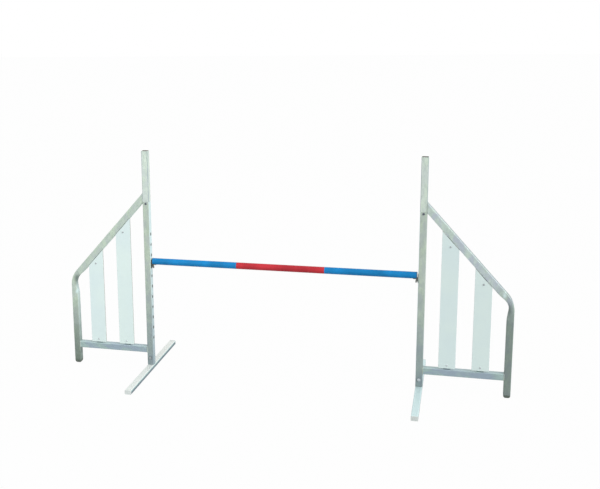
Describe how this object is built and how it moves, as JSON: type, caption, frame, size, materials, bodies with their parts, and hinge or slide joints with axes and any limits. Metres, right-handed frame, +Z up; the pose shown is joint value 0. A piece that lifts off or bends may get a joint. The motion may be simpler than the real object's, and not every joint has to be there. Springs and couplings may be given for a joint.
{
  "type": "agility hurdle",
  "caption": "Free-standing agility hurdle: winged square-tube stands with plastic slats, and a striped jump bar that rests in height-adjustable pinned cups.",
  "frame": {"origin": "on the floor, midway between the posts, in the plane of the wings", "axes": "+X along the bar towards the right stand, +Y to the back, +Z up; the slats' screws face -Y"},
  "size_m": [2.01, 0.67, 1.04],
  "materials": {
    "galvanised_tube": "hot-dip galvanised, mottled satin",
    "zinc_plate": "bright zinc plate",
    "dark_screw": "dulled zinc",
    "slat_plastic": "smooth white sheet, slight sheen",
    "grey_plastic": "moulded, matte",
    "pale_plastic": "moulded, matte",
    "bar_core": "extruded pipe",
    "bar_blue": "smooth adhesive wrap",
    "bar_red": "smooth adhesive wrap"
  },
  "bodies": {
    "stands": {"left_lower_post": "galvanised_tube", "left_mast": "galvanised_tube", "left_mast_spigot": "galvanised_tube", "left_mast_screw": "dark_screw", "left_wing_rail": "galvanised_tube", "left_bottom_rail": "galvanised_tube", "left_leg_cap": "grey_plastic", "left_cross_foot": "galvanised_tube", "left_foot_stub": "galvanised_tube", "left_foot_bolt": "zinc_plate", "left_foot_nut": "zinc_plate", "left_foot_cap_front": "pale_plastic", "left_foot_cap_rear": "pale_plastic", "left_inner_slat": "slat_plastic", "left_inner_slat_lug_upper": "galvanised_tube", "left_inner_slat_lug_lower": "galvanised_tube", "left_inner_slat_screw_upper": "dark_screw", "left_inner_slat_screw_lower": "dark_screw", "left_outer_slat": "slat_plastic", "left_outer_slat_lug_upper": "galvanised_tube", "left_outer_slat_lug_lower": "galvanised_tube", "left_outer_slat_screw_upper": "dark_screw", "left_outer_slat_screw_lower": "dark_screw", "right_lower_post": "galvanised_tube", "right_mast": "galvanised_tube", "right_mast_spigot": "galvanised_tube", "right_mast_screw": "dark_screw", "right_wing_rail": "galvanised_tube", "right_bottom_rail": "galvanised_tube", "right_leg_cap": "grey_plastic", "right_cross_foot": "galvanised_tube", "right_foot_stub": "galvanised_tube", "right_foot_bolt": "zinc_plate", "right_foot_nut": "zinc_plate", "right_foot_cap_front": "pale_plastic", "right_foot_cap_rear": "pale_plastic", "right_inner_slat": "slat_plastic", "right_inner_slat_lug_upper": "galvanised_tube", "right_inner_slat_lug_lower": "galvanised_tube", "right_inner_slat_screw_upper": "dark_screw", "right_inner_slat_screw_lower": "dark_screw", "right_outer_slat": "slat_plastic", "right_outer_slat_lug_upper": "galvanised_tube", "right_outer_slat_lug_lower": "galvanised_tube", "right_outer_slat_screw_upper": "dark_screw", "right_outer_slat_screw_lower": "dark_screw"},
    "cups": {"left_cup": "zinc_plate", "right_cup": "zinc_plate"},
    "left_pin": {"left_cup_pin": "zinc_plate"},
    "right_pin": {"right_cup_pin": "zinc_plate"},
    "bar": {"bar_tube": "bar_core", "bar_wrap_1_blue": "bar_blue", "bar_wrap_2_red": "bar_red", "bar_wrap_3_blue": "bar_blue", "bar_cap_left": "grey_plastic", "bar_cap_right": "grey_plastic"}
  },
  "joints": [
    {"name": "bar_height", "type": "slide", "parent": "stands", "child": "cups", "axis": [0, 0, 1], "range_m": [-0.15, 0.15]},
    {"name": "left_pin_pull", "type": "slide", "parent": "cups", "child": "left_pin", "axis": [1, 0, 0], "range_m": [0, 0.013]},
    {"name": "right_pin_pull", "type": "slide", "parent": "cups", "child": "right_pin", "axis": [-1, 0, 0], "range_m": [0, 0.013]},
    {"name": "bar_lift", "type": "slide", "parent": "cups", "child": "bar", "axis": [0, 0, 1], "range_m": [0, 0.2]}
  ]
}
